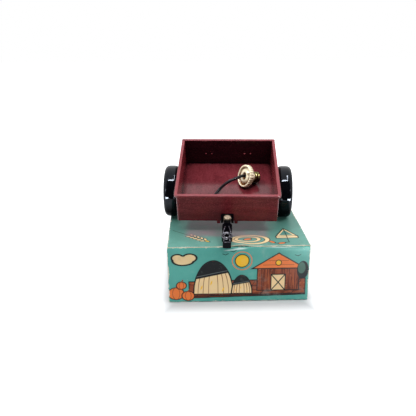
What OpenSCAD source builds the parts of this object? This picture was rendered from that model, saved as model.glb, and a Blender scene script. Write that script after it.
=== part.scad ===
// Toy farm trailer with a loose hand-wheel tool in its tray, standing nose-down on its printed carton.
// Millimetres. X right, Y to the back, Z up; the origin is the centre of the carton's base.
// The trailer is drawn in its own tray frame (rim plane at z = 0, front lip at y = 0) and tipped into place.

/* [Carton] */
// carton width along X
carton_w = 127.8; // [100:0.1:160]
// carton depth along Y
carton_d = 132; // [110:170]
// carton height
carton_h = 55.2; // [40:0.1:80]
// card thickness
card = 0.6; // [0.5:0.1:1]
// length of each tuck tongue
tongue_len = 14; // [8:20]
// length of each dust flap
dust_len = 29; // [15:45]

/* [Tray] */
// tray width over the lip
tray_w = 97; // [80:120]
// tray length over the lip, tailgate shut
tray_l = 97.1; // [80:0.1:120]
// tray height, rim to underside
tray_h = 31; // [20:45]
// wall thickness
wall = 1.4; // [1:0.1:3]
// overhang of the lip
lip = 1.6; // [0.5:0.1:3]
// height of the lip
lip_h = 3; // [1:0.5:6]
// floor thickness
floor_t = 2.4; // [1.5:0.1:4]

/* [Stance] */
// nose-down tip of the trailer, degrees
tip = 19.8; // [0:0.1:25]
// turn of the trailer on the carton, degrees
turn = -4; // [-15:0.5:15]

/* [Wheels] */
// tyre outer radius
tyre_r = 26; // [20:30]
// tyre width
tyre_w = 14; // [8:18]
// distance between tyre centres
track = 112.4; // [100:0.1:130]
// radius of the rim that shows inside the tyre
rim_r = 20; // [14:22]
// axle radius
axle_r = 2; // [1:0.5:3]
// pitch radius of the three wheel nuts
nut_pitch = 11; // [8:14]

/* [Hitch] */
// length of the drawbar in front of the lip
bar_len = 35.6; // [25:0.1:60]
// radius of the tow eye
eye_r = 1.8; // [1.2:0.1:3]
// distance of the tow eye in front of the lip
eye_y = 24.6; // [15:0.1:30]

/* [Tool] */
// hand wheel radius
knob_r = 11.3; // [8:0.1:14]
// cord diameter
cord_d = 3; // [1.5:0.1:3.5]

/* [Hidden] */
$fn = 48;
eps = 0.01;
hw = carton_w / 2;
hd = carton_d / 2;
th = tray_h;
tw = tray_w / 2;
wall_x = tw - lip;             // outer face of the side walls
side_end = tray_l - lip - wall - 0.2; // rear end of the side walls
gate_y = side_end + 0.2;       // inner face of the tailgate
floor_z = -th + floor_t;       // top of the tray floor
gate_ax_y = gate_y + wall / 2; // tailgate hinge line
gate_ax_z = floor_z + 1;
hinge_x = 20.5;                // centre of each tailgate hinge
pin_r = 0.5;
axle_y = 0.528 * tray_l;
axle_z = -th - 2.55;
bar_top = -th + 5;
bar_bot = -th + 0.2;
beam_x = wall_x - 6.5;         // half length of the axle beam
// the trailer stands with its tyres 0.2 above the carton top
stand = tyre_r + 0.2 - axle_y * sin(tip) - axle_z * cos(tip);
trailer_at = [-9.4, 20.6 - hd, carton_h + stand];
// hand wheel: centre of its face in the tray frame, and its turn
knob_at = [16.05, 53.8, -16.4];
knob_turn = [0, 66.4, 205.2];
// cord run in the tray frame, from the hand wheel to the ferrule
cord_points = [
  [18.54, 54.97, -17.6], [16.05, 53.8, -16.4], [13.9, 52.2, -15.4], [11.1, 49.4, -14.8], [8.6, 47.8, -14.8],
  [5.2, 46, -15.4], [1.7, 45.2, -16.8], [-1.2, 44.9, -18.8], [-3.9, 44.3, -21], [-6.5, 43.3, -23.3],
  [-8.8, 41.6, -25.2], [-11, 39, -26.5], [-13.2, 35, -26.8], [-15.4, 30, -26.8], [-17.5, 24, -26.8],
  [-19.5, 18, -26.8]
];
ferrule_to = [-22.3, 9.6, -26.8];

// ---------- helpers ----------

// puts a shape of the tray frame on the carton
module tipped() translate(trailer_at) rotate([0, 0, turn]) rotate([tip, 0, 0]) children();

module slab(lo, hi) translate(lo) cube(hi - lo);

// rounded rectangle in plan, from corner to corner
module round_plan(x0, y0, x1, y1, r) {
  translate([x0 + r, y0 + r]) offset(r = r) square([x1 - x0 - 2 * r, y1 - y0 - 2 * r]);
}

// rod along X
module rod_x(x0, x1, r, y, z) translate([x0, y, z]) rotate([0, 90, 0]) cylinder(h = x1 - x0, r = r);

// places a wheel profile: +Z of the profile points outwards along side * X
module at_wheel(side) tipped() translate([side * track / 2, axle_y, axle_z])
  rotate([0, side * 90, 0]) children();

// ---------- carton ----------

module carton_sleeve() color([0.3, 0.63, 0.58]) {
  top = carton_h - card;
  rotate([90, 0, 90]) translate([0, 0, -hw]) linear_extrude(carton_w) union() {
    // floor, back and front panels with folded edges
    difference() {
      round_plan(-hd, 0, hd, top + 6, 0.8);
      round_plan(-hd + card, card, hd - card, top + 6 - card, 0.4);
      translate([-hd - 1, top]) square([carton_d + 2, 10]);
    }
    // glue flap folded back under the top panel
    translate([-hd + card - eps, top - card]) square([13, card]);
  }
}

module carton_top_panel() color([0.37, 0.68, 0.61]) {
  rotate([90, 0, 90]) translate([0, 0, -hw]) linear_extrude(carton_w) difference() {
    translate([-hd + 0.3, carton_h - card]) square([carton_d - 0.3, card]);
    // softened fold to the back panel
    difference() {
      translate([hd - 0.5, carton_h - 0.5]) square(1);
      translate([hd - 0.5, carton_h - 0.5]) circle(r = 0.5, $fn = 24);
    }
  }
}

module end_panel(side) {
  z1 = carton_h - 3 * card - 1.1;
  translate([side * (hw - 0.5), 0, 1.4]) {
    slab([-card / 2, -hd + card + 0.6, 0], [card / 2, hd - card - 0.6, z1 - 1.4]);
    rotate([90, 0, 0]) cylinder(h = carton_d - 2 * card - 1.2, r = card / 2, center = true);
  }
}
module end_panel_left() color([0.3, 0.63, 0.58]) end_panel(-1);
module end_panel_right() color([0.3, 0.63, 0.58]) end_panel(1);

module tuck_tongue(side) {
  z0 = carton_h - 2 * card - 0.4 - card;
  translate([0, 0, z0]) linear_extrude(card) difference() {
    translate([side > 0 ? hw - 0.8 - tongue_len : -hw + 0.2 , 0])
      offset(r = 3) offset(delta = -3) translate([0, -hd + 2.4]) square([tongue_len + 0.6, carton_d - 4.8]);
  }
}
module tuck_tongue_left() color([0.9, 0.85, 0.72]) tuck_tongue(-1);
module tuck_tongue_right() color([0.9, 0.85, 0.72]) tuck_tongue(1);

module dust_flap(side, back) {
  x = side * (hw - 1.4);
  y = back * (hd - card - 0.4);
  z1 = carton_h - 3.4 * card - 1.4;
  translate([x, y, 2]) {
    slab([-card / 2, back > 0 ? -dust_len : 0, 0], [card / 2, back > 0 ? 0 : dust_len, z1 - 2]);
    cylinder(h = z1 - 2, r = card / 2);
  }
}
module dust_flap_left_front() color([0.9, 0.85, 0.72]) dust_flap(-1, -1);
module dust_flap_left_back() color([0.9, 0.85, 0.72]) dust_flap(-1, 1);
module dust_flap_right_front() color([0.9, 0.85, 0.72]) dust_flap(1, -1);
module dust_flap_right_back() color([0.9, 0.85, 0.72]) dust_flap(1, 1);

// ---------- tray ----------

module hinge_lugs(x) {
  for (s = [-1, 1]) difference() {
    union() {
      rod_x(x + s * 3.2 - 0.8, x + s * 3.2 + 0.8, 1.3, gate_ax_y, gate_ax_z);
      slab([x + s * 3.2 - 0.8, gate_ax_y - 1.3, floor_z - eps], [x + s * 3.2 + 0.8, gate_ax_y + 1.2, gate_ax_z]);
    }
    rod_x(x + s * 3.2 - 2, x + s * 3.2 + 2, pin_r, gate_ax_y, gate_ax_z);
  }
}

module tray() color([0.36, 0.13, 0.16]) tipped() {
  difference() {
    union() {
      translate([0, 0, -th]) linear_extrude(th) intersection() {
        round_plan(-wall_x, lip, wall_x, tray_l + 10, 1.2);
        translate([-60, -5]) square([120, side_end + 5]);
      }
      translate([0, 0, -lip_h]) linear_extrude(lip_h) intersection() {
        round_plan(-tw, 0, tw, tray_l + 10, 1.6);
        translate([-60, -5]) square([120, side_end + 5]);
      }
      // floor tail under the tailgate
      slab([-wall_x, side_end - 5, -th], [wall_x, tray_l - 1, floor_z]);
      // lugs each side of the hitch bracket
      for (s = [-1, 1]) slab([s * 8.2 - 1.5, lip, -th - 3.4], [s * 8.2 + 1.5, 6, -th + eps]);
    }
    translate([0, 0, floor_z]) linear_extrude(th) round_plan(-wall_x + wall, lip + wall, wall_x - wall, tray_l + 20, 0.8);
    slab([-wall_x - 5, side_end, floor_z], [wall_x + 5, tray_l + 20, 10]);
  }
  for (s = [-1, 1]) hinge_lugs(s * hinge_x);
}

module hinge_pins() color([0.25, 0.2, 0.2]) tipped()
  for (s = [-1, 1]) rod_x(s * hinge_x - 4.3, s * hinge_x + 4.3, pin_r, gate_ax_y, gate_ax_z);

module tailgate() color([0.33, 0.11, 0.14]) tipped() difference() {
  union() {
    slab([-wall_x, gate_y, gate_ax_z], [wall_x, gate_y + wall, 0]);
    rod_x(-wall_x, wall_x, wall / 2, gate_ax_y, gate_ax_z);
    translate([0, 0, -lip_h]) linear_extrude(lip_h) difference() {
      round_plan(-tw, gate_y - 10, tw, tray_l, 1.6);
      translate([-60, gate_y - 20]) square([120, 20]);
    }
    for (s = [-1, 1]) rod_x(s * hinge_x - 2.2, s * hinge_x + 2.2, 0.9, gate_ax_y, gate_ax_z);
  }
  for (s = [-1, 1]) {
    rod_x(s * hinge_x - 5, s * hinge_x + 5, pin_r + 0.06, gate_ax_y, gate_ax_z);
    for (q = [-1, 1])
      rod_x(s * hinge_x + q * 3.3 - 0.95, s * hinge_x + q * 3.3 + 0.95, 1.6, gate_ax_y, gate_ax_z);
  }
}

module tailgate_studs() color([0.42, 0.16, 0.2]) tipped()
  for (s = [-1, 1]) for (q = [-1, 1])
    translate([s * hinge_x + q * 3.2, gate_y, -th / 2 - 0.7]) rotate([90, 0, 0])
      cylinder(h = 0.7, r1 = 0.8, r2 = 0.5, $fn = 24);

// ---------- running gear ----------

module axle_beam() color([0.07, 0.07, 0.08]) tipped() difference() {
  slab([-beam_x, axle_y - 4, axle_z - 3.6], [beam_x, axle_y + 4, -th]);
  rod_x(-50, 50, axle_r, axle_y, axle_z);
}

module axle_hanger(side) tipped() difference() {
  translate([side > 0 ? beam_x : -beam_x - 7.2, axle_y, 0]) rotate([90, 0, 90]) linear_extrude(7.2)
    polygon([[-26, -th], [26, -th], [26, -th - 1.6], [14, -th - 3], [5, axle_z - 4.4],
      [-5, axle_z - 4.4], [-14, -th - 3], [-26, -th - 1.6]]);
  rod_x(-60, 60, axle_r, axle_y, axle_z);
}
module axle_hanger_left() color([0.07, 0.07, 0.08]) axle_hanger(-1);
module axle_hanger_right() color([0.07, 0.07, 0.08]) axle_hanger(1);

module axle_rod() color([0.5, 0.5, 0.5]) tipped()
  rod_x(-track / 2 - 2.9, track / 2 + 2.9, axle_r, axle_y, axle_z);

module wheel_rim(side) at_wheel(side) rotate_extrude($fn = 96) polygon([
  [axle_r + 0.05, -8.1], [6, -8.1], [6, -1.2], [rim_r - 4.2, -1.2], [rim_r - 2.6, -6.2], [rim_r, -6.2],
  [rim_r, -5], [rim_r - 1, -5], [rim_r - 1, 5], [rim_r, 5], [rim_r, 6.2], [rim_r - 1.6, 6.2],
  [rim_r - 3.2, 1.5], [6.6, 1.5], [5.6, 3.2], [axle_r + 0.05, 3.2]]);
module wheel_rim_left() color([0.93, 0.87, 0.7]) wheel_rim(-1);
module wheel_rim_right() color([0.93, 0.87, 0.7]) wheel_rim(1);

// smooth tyre with rounded shoulders
module tyre(side) at_wheel(side) rotate_extrude($fn = 96) difference() {
  h = tyre_w / 2;
  translate([rim_r - 1, -h]) offset(r = 3.4) offset(delta = -3.4)
    polygon([[-3, 0], [tyre_r - rim_r - 1, 0], [tyre_r - rim_r + 1, 3], [tyre_r - rim_r + 1, tyre_w - 3],
      [tyre_r - rim_r - 1, tyre_w], [-3, tyre_w]]);
  translate([0, -20]) square([rim_r - 1, 40]);
  translate([0, -h - 1]) square([rim_r, h - 4]);
  translate([0, 5]) square([rim_r, h]);
}
module tyre_left() color([0.05, 0.05, 0.06]) tyre(-1);
module tyre_right() color([0.05, 0.05, 0.06]) tyre(1);

module wheel_nuts(side) at_wheel(side) for (a = [20, 140, 260]) rotate([0, 0, a])
  translate([nut_pitch, 0, 1.5]) {
    cylinder(h = 1.8, r = 1.9, $fn = 6);
    cylinder(h = 2.6, r = 0.9, $fn = 24);
  }
module wheel_nuts_left() color([0.85, 0.65, 0.15]) wheel_nuts(-1);
module wheel_nuts_right() color([0.85, 0.65, 0.15]) wheel_nuts(1);

module hub_cap(side) at_wheel(side) translate([0, 0, 3.2]) rotate_extrude($fn = 48)
  polygon([[0, 0], [4.2, 0], [4.2, 0.8], [3.4, 1.7], [1.6, 2.2], [0, 2.3]]);
module hub_cap_left() color([0.93, 0.87, 0.7]) hub_cap(-1);
module hub_cap_right() color([0.93, 0.87, 0.7]) hub_cap(1);

// ---------- hitch ----------

// open frame: a thin top bar over two side cheeks
module hitch_bracket() color([0.06, 0.06, 0.07]) tipped() difference() {
  union() {
    slab([-5.9, 0, -th + 8.1], [5.9, lip, -th + 9]);
    for (s = [-1, 1]) translate([s * 4.95 - 0.95, 0, -th]) rotate([90, 0, 90]) linear_extrude(1.9)
      polygon([[lip, 9], [-0.3, 9], [-3, 5.8], [-3, 2.2], [-2.2, 0.6], [lip, 0.6]]);
  }
  rod_x(-10, 10, pin_r, -0.9, -th + 1.4);
}

// domed head with a raised ring, flat below where the drawbar passes
module hitch_bolt() color([0.45, 0.4, 0.34]) tipped() difference() {
  translate([0, lip, -th + 5]) rotate([90, 0, 0]) rotate_extrude()
    polygon([[0, 0], [2.4, 0], [2.4, 1.6], [3.9, 1.7], [3.9, 2.6], [3.5, 3.1], [2.8, 3.4], [2.3, 3.1], [1.4, 3.6],
      [0, 3.8]]);
  slab([-5, -4, -th - 1], [5, lip + 1, -th + 2.4]);
}

module drawbar() color([0.06, 0.06, 0.07]) tipped() difference() {
  union() {
    slab([-3, -10, bar_bot], [3, -2.6, bar_top - 0.6]);
    slab([-3, -3, bar_bot], [3, 0.3, -th + 2.2]);
    // broad shank with clipped corners
    translate([0, 0, bar_bot]) linear_extrude(bar_top - bar_bot)
      polygon([[-4.5, -9.4], [-3.4, -7.8], [3.4, -7.8], [4.5, -9.4], [4.5, -15.5], [4.1, -16.5], [4.1, -20],
        [-4.1, -20], [-4.1, -16.5], [-4.5, -15.5]]);
    translate([0, 0, bar_bot]) linear_extrude(bar_top - bar_bot - 0.6)
      polygon([[-3.2, -18], [3.2, -18], [3.2, -bar_len + 2], [-3.2, -bar_len + 2]]);
    // boss of the tow eye
    translate([0, -eye_y, bar_bot]) cylinder(h = bar_top - bar_bot + 0.4, r = 4.9);
    // raised rib behind the eye
    slab([-0.7, -eye_y + 4, bar_top - 0.5], [0.7, -9.5, bar_top + 0.6]);
    // rounded end block
    translate([0, 0, bar_bot]) linear_extrude(bar_top - bar_bot + 0.4)
      round_plan(-3.7, -bar_len, 3.7, -bar_len + 4.2, 1.2);
  }
  translate([0, -eye_y, bar_bot - 2]) cylinder(h = 12, r = eye_r);
  rod_x(-10, 10, pin_r, -0.9, -th + 1.4);
}

module drawbar_pin() color([0.3, 0.28, 0.26]) tipped() rod_x(-5.9, 5.9, pin_r, -0.9, -th + 1.4);

module rear_bracket() color([0.06, 0.06, 0.07]) tipped()
  translate([0, 0, -th - 2.4]) linear_extrude(2.4)
    round_plan(-tw / 6, tray_l - 15, tw / 6, tray_l + 2, 2.5);

module rear_nut() color([0.85, 0.65, 0.15]) tipped() translate([0, tray_l - 8, -th - 5.2]) {
  cylinder(h = 2.8, r = 3.4, $fn = 6);
  translate([0, 0, -0.8]) cylinder(h = 1, r = 1.6);
}

// ---------- hand wheel tool ----------

module at_knob() tipped() translate(knob_at) rotate(knob_turn) children();

module hand_wheel() color([0.9, 0.82, 0.62]) at_knob() difference() {
  rotate_extrude($fn = 96) polygon([[0, -11.2], [4.2, -11.2], [4.2, -8.4], [6, -6.8], [9, -4.9], [knob_r - 0.5, -4.5],
    [knob_r, -4], [knob_r, -0.7], [knob_r - 0.5, -0.1], [knob_r - 1.8, -0.1], [9.1, -0.9], [8.8, -2.2], [8.2, -2.2],
    [6.4, -0.5], [5.2, 0], [4, 0], [2.8, -1], [2.2, -2.6], [2.2, -5], [0, -5]]);
  // grip flutes
  for (i = [0 : 25]) rotate([0, 0, i * 360 / 26]) translate([knob_r + 0.2, 0, -6]) cylinder(h = 5.2, r = 0.8, $fn = 12);
  // locking notch beside the hub
  rotate([0, 0, 135]) translate([7.2, 0, -5]) cylinder(h = 8, r = 1.4, $fn = 3);
}

// fluted socket with a grooved collar
module hand_wheel_tail() color([0.6, 0.5, 0.22]) at_knob() translate([0, 0, -16.8]) rotate_extrude()
  polygon([[0, 0], [5.3, 0], [5.8, 0.5], [5.8, 1.9], [5.3, 2.3], [5.3, 2.8], [5.8, 3.2], [5.8, 5], [5.2, 5.6], [0, 5.6]]);

function unit(v) = v / norm(v);
function along(p, i) = unit(i == 0 ? p[1] - p[0] : i == len(p) - 1 ? p[i] - p[i - 1]
  : unit(p[i + 1] - p[i]) + unit(p[i] - p[i - 1]));

// tube through the points, as one closed solid
module tube(p, r, n = 8) {
  rings = [for (i = [0 : len(p) - 1]) let(t = along(p, i), a = unit(cross(t, [0, 0.1, 1])), b = cross(t, a))
    [for (k = [0 : n - 1]) p[i] + r * (cos(k * 360 / n) * a + sin(k * 360 / n) * b)]];
  pts = [for (g = rings) each g];
  last = (len(p) - 1) * n;
  faces = concat(
    [[for (k = [0 : n - 1]) k]],
    [for (i = [0 : len(p) - 2]) for (k = [0 : n - 1])
      each [[i * n + k, (i + 1) * n + k, i * n + (k + 1) % n],
        [i * n + (k + 1) % n, (i + 1) * n + k, (i + 1) * n + (k + 1) % n]]],
    [[for (k = [n - 1 : -1 : 0]) last + k]]);
  polyhedron(points = pts, faces = faces);
}

module tool_cord() color([0.08, 0.09, 0.1]) tipped() tube(cord_points, cord_d / 2);

module cord_ferrule() color([0.85, 0.65, 0.2]) tipped() {
  e = cord_points[len(cord_points) - 1];
  a = e + 0.1 * unit(ferrule_to - e);
  d = ferrule_to - a;
  translate(a) rotate([0, acos(d[2] / norm(d)), atan2(d[1], d[0])]) rotate_extrude($fn = 32)
    polygon([[0, 0], [1.5, 0], [1.65, 0.5], [1.65, 6.4], [1.2, 7], [0.9, norm(d)], [0, norm(d)]]);
}

// ---------- drawing ----------

carton_sleeve();
carton_top_panel();
end_panel_left();
end_panel_right();
tuck_tongue_left();
tuck_tongue_right();
dust_flap_left_front();
dust_flap_left_back();
dust_flap_right_front();
dust_flap_right_back();
tray();
hinge_pins();
tailgate();
tailgate_studs();
axle_beam();
axle_hanger_left();
axle_hanger_right();
axle_rod();
hitch_bracket();
hitch_bolt();
drawbar();
drawbar_pin();
rear_bracket();
rear_nut();
wheel_rim_left();
tyre_left();
wheel_nuts_left();
hub_cap_left();
wheel_rim_right();
tyre_right();
wheel_nuts_right();
hub_cap_right();
hand_wheel();
hand_wheel_tail();
tool_cord();
cord_ferrule();
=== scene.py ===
"""Toy farm trailer with a loose hand wheel in its tray, tipped nose-down on its printed carton."""

import math

import bpy
from mathutils import Matrix, Vector, noise


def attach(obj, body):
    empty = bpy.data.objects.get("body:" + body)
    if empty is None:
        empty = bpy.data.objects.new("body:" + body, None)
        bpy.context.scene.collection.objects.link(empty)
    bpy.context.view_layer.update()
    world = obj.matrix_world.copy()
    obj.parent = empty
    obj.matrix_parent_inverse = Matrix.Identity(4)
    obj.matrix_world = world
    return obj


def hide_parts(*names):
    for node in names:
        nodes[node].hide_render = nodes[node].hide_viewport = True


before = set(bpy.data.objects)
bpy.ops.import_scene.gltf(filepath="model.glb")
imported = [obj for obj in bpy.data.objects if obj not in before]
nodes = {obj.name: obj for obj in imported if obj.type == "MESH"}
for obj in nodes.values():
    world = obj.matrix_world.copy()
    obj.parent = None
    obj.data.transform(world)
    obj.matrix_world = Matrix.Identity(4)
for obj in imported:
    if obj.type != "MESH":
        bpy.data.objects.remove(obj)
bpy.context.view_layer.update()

# ---------------------------------------------------------------- camera
cam_data = bpy.data.cameras.new("camera")
cam_data.lens = 42.4
cam_data.sensor_width = 36.0
cam = bpy.data.objects.new("camera", cam_data)
bpy.context.scene.collection.objects.link(cam)
# the camera's own axes and place, fitted to the photograph
right = Vector((0.99966881, -0.02466203, -0.00735265))
down = Vector((-0.01520271, -0.33540819, -0.94195023))
ahead = Vector((0.02076427, 0.94175004, -0.33567203))
cam_at = (-0.03603, -0.46238, 0.2331)
rot = Matrix((right, -down, -ahead)).transposed()
cam.matrix_world = Matrix.Translation(cam_at) @ rot.to_4x4()
bpy.context.scene.camera = cam

# ---------------------------------------------------------------- helpers
MM = Matrix.Scale(0.001, 4)
ROW = Matrix.Identity(4)
# the trailer's tray frame: rim plane at z = 0, front lip at y = 0, in millimetres
TRAY_AT = (-9.4, -45.4, 95.6)
TRAY_TURN = math.radians(-4)
TRAY_TIP = math.radians(19.8)
TRAY = Matrix.Translation(TRAY_AT) @ Matrix.Rotation(TRAY_TURN, 4, "Z") @ Matrix.Rotation(TRAY_TIP, 4, "X")


def to_row(p, space=TRAY):
    """A point in millimetres in a given space, as metres in the shared frame."""
    return MM @ space @ Vector(p)


def sharpen(mesh, degrees=38):
    """Smooth faces, with edges over that angle kept sharp."""
    mesh.update()
    limit = math.cos(math.radians(degrees))
    mesh.polygons.foreach_set("use_smooth", [True] * len(mesh.polygons))
    by_edge = {}
    for poly in mesh.polygons:
        for key in poly.edge_keys:
            by_edge.setdefault(key, []).append(poly.normal.copy())
    marks = mesh.attributes.get("sharp_edge") or mesh.attributes.new("sharp_edge", "BOOLEAN", "EDGE")
    values = [False] * len(mesh.edges)
    for i, edge in enumerate(mesh.edges):
        n = by_edge.get(tuple(sorted(edge.vertices)), [])
        values[i] = len(n) == 2 and n[0].dot(n[1]) < limit
    marks.data.foreach_set("value", values)


def add(name, verts, faces, body, mat, space=TRAY, stands_for=(), slot=None, smooth=38, bevel=0.0):
    """A piece made of points in millimetres in a given space, riding on a body."""
    mesh = bpy.data.meshes.new(name)
    mesh.from_pydata([to_row(v, space) for v in verts], [], faces)
    mesh.validate()
    obj = bpy.data.objects.new(name, mesh)
    bpy.context.scene.collection.objects.link(obj)
    mesh.materials.append(mat)
    sharpen(mesh, smooth)
    if bevel:
        round_edges(obj, bevel)
    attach(obj, body)
    if stands_for:
        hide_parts(*stands_for)
    return obj


def round_edges(obj, width, weld=False):
    """Softens the sharp edges by a width in millimetres."""
    if weld:
        w = obj.modifiers.new("weld", "WELD")
        w.merge_threshold = 0.000005
    b = obj.modifiers.new("rounding", "BEVEL")
    b.width = width * 0.001
    b.segments = 2
    b.limit_method = "ANGLE"
    b.angle_limit = math.radians(32)
    b.harden_normals = True


def dress(node, mat, width=0.0):
    """A CAD piece shown as it is, with a material and softened edges."""
    obj = nodes[node]
    obj.data.materials.clear()
    obj.data.materials.append(mat)
    if width:
        round_edges(obj, width, weld=True)


def skin(rings):
    """Closed shape with faces between rings of equal length and a cap at each end."""
    n = len(rings[0])
    verts = [p for r in rings for p in r]
    faces = []
    for i in range(len(rings) - 1):
        for k in range(n):
            a = i * n + k
            b = i * n + (k + 1) % n
            faces.append((a, b, b + n, a + n))
    faces.append(tuple(range(n - 1, -1, -1)))
    last = (len(rings) - 1) * n
    faces.append(tuple(last + k for k in range(n)))
    return verts, faces


def lathe(profile, count, wobble=None):
    """Turned shape round +Z from (radius, height) points; points on the axis are merged to a fan."""
    verts, rows = [], []
    for r, z in profile:
        if r < 1e-6:
            rows.append([len(verts)] * count)
            verts.append((0, 0, z))
            continue
        row = []
        for k in range(count):
            a = 2 * math.pi * k / count
            rr = r + (wobble(r, a) if wobble else 0)
            row.append(len(verts))
            verts.append((rr * math.cos(a), rr * math.sin(a), z))
        rows.append(row)
    faces = []
    closed = profile[0] == profile[-1]
    if closed:
        rows[-1] = rows[0]
    for a, b in zip(rows, rows[1:]):
        for k in range(count):
            after = (k + 1) % count
            q = [a[k], a[after], b[after], b[k]]
            q = [v for i, v in enumerate(q) if v not in q[:i]]
            if len(q) > 2:
                faces.append(tuple(q))
    if closed:
        used = sorted({v for f in faces for v in f})
        index = {v: i for i, v in enumerate(used)}
        verts = [verts[v] for v in used]
        faces = [tuple(index[v] for v in f) for f in faces]
    return verts, faces


def block(lo, hi):
    """Box from corner to corner."""
    x0, y0, z0 = lo
    x1, y1, z1 = hi
    v = [(x, y, z) for z in (z0, z1) for x, y in ((x0, y0), (x1, y0), (x1, y1), (x0, y1))]
    f = [(0, 3, 2, 1), (4, 5, 6, 7), (0, 1, 5, 4), (1, 2, 6, 5), (2, 3, 7, 6), (3, 0, 4, 7)]
    return v, f


def steps(a, b, n):
    return [a + (b - a) * i / n for i in range(n + 1)]


def join(*parts):
    """Several shapes as one list of points and one of faces."""
    verts, faces = [], []
    for v, f in parts:
        off = len(verts)
        verts += list(v)
        faces += [tuple(i + off for i in q) for q in f]
    return verts, faces


# ---------------------------------------------------------------- materials
class Shader:
    """Builds a material from nodes with short calls; numbers or sockets go in, a socket comes out."""

    def __init__(self, name):
        self.mat = bpy.data.materials.new(name)
        self.mat.use_nodes = True
        self.tree = self.mat.node_tree
        self.bsdf = next(n for n in self.tree.nodes if n.type == "BSDF_PRINCIPLED")
        self.place = self.node("ShaderNodeTexCoord").outputs["Object"]

    def node(self, kind, values=None, **props):
        n = self.tree.nodes.new(kind)
        for k, v in props.items():
            setattr(n, k, v)
        for k, v in (values or {}).items():
            self.put(n.inputs[k], v)
        return n

    def put(self, socket, v):
        if isinstance(v, bpy.types.NodeSocket):
            self.tree.links.new(v, socket)
        else:
            if socket.type == "RGBA" and len(v) == 3:
                v = (*v, 1.0)
            socket.default_value = v

    def math(self, op, a, b=0.0, clamp=False):
        n = self.node("ShaderNodeMath", {0: a, 1: b}, operation=op)
        n.use_clamp = clamp
        return n.outputs[0]

    def scaled(self, v, k):
        return self.math("MULTIPLY", v, k)

    def swing(self, v, k):
        """A noise value of 0 to 1 as an offset round zero, k wide."""
        return self.math("MULTIPLY", self.math("SUBTRACT", v, 0.5), k)

    def height(self):
        return self.node("ShaderNodeSeparateXYZ", {0: self.place}).outputs[2]

    def mix(self, fac, a, b):
        n = self.node("ShaderNodeMix", data_type="RGBA")
        self.put(n.inputs[0], fac)
        self.put(n.inputs[6], a)
        self.put(n.inputs[7], b)
        return n.outputs[2]

    def noise(self, scale, detail=3.0, rough=0.5, where=None, distortion=0.0):
        n = self.node(
            "ShaderNodeTexNoise",
            {"Scale": scale, "Detail": detail, "Roughness": rough, "Distortion": distortion},
        )
        self.put(n.inputs["Vector"], where or self.place)
        return n.outputs["Fac"]

    def stretch(self, scale, where=None):
        n = self.node("ShaderNodeMapping")
        self.put(n.inputs["Vector"], where or self.place)
        n.inputs["Scale"].default_value = scale
        return n.outputs["Vector"]

    def ramp(self, v, lo, hi, a=0.0, b=1.0):
        """Runs smoothly from a to b while v goes from lo to hi."""
        span = {0: v, 1: lo, 2: hi, 3: a, 4: b}
        return self.node("ShaderNodeMapRange", span, interpolation_type="SMOOTHSTEP").outputs[0]

    def bump(self, height, strength=0.3, distance=0.0002, onto=None):
        n = self.node("ShaderNodeBump", {"Strength": strength, "Distance": distance, "Height": height})
        if onto is not None:
            self.put(n.inputs["Normal"], onto)
        return n.outputs["Normal"]

    def below(self, lo, hi):
        """0 where the surface looks up, 1 where it looks down; the mask of painted shade on what looks
        down.
        """
        normal = self.node("ShaderNodeNewGeometry").outputs["Normal"]
        facing = self.node("ShaderNodeSeparateXYZ", {0: normal}).outputs[2]
        return self.ramp(self.scaled(facing, -1.0), lo, hi)

    def set(self, **values):
        for k, v in values.items():
            self.put(self.bsdf.inputs[k.replace("_", " ")], v)
        return self.mat


# painted highlight: the lighter colour of the lip's top and front corners
RIM_HIGHLIGHT = (0.28, 0.062, 0.072)
DEEP_SHADE = (0.004, 0.001, 0.002)


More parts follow.
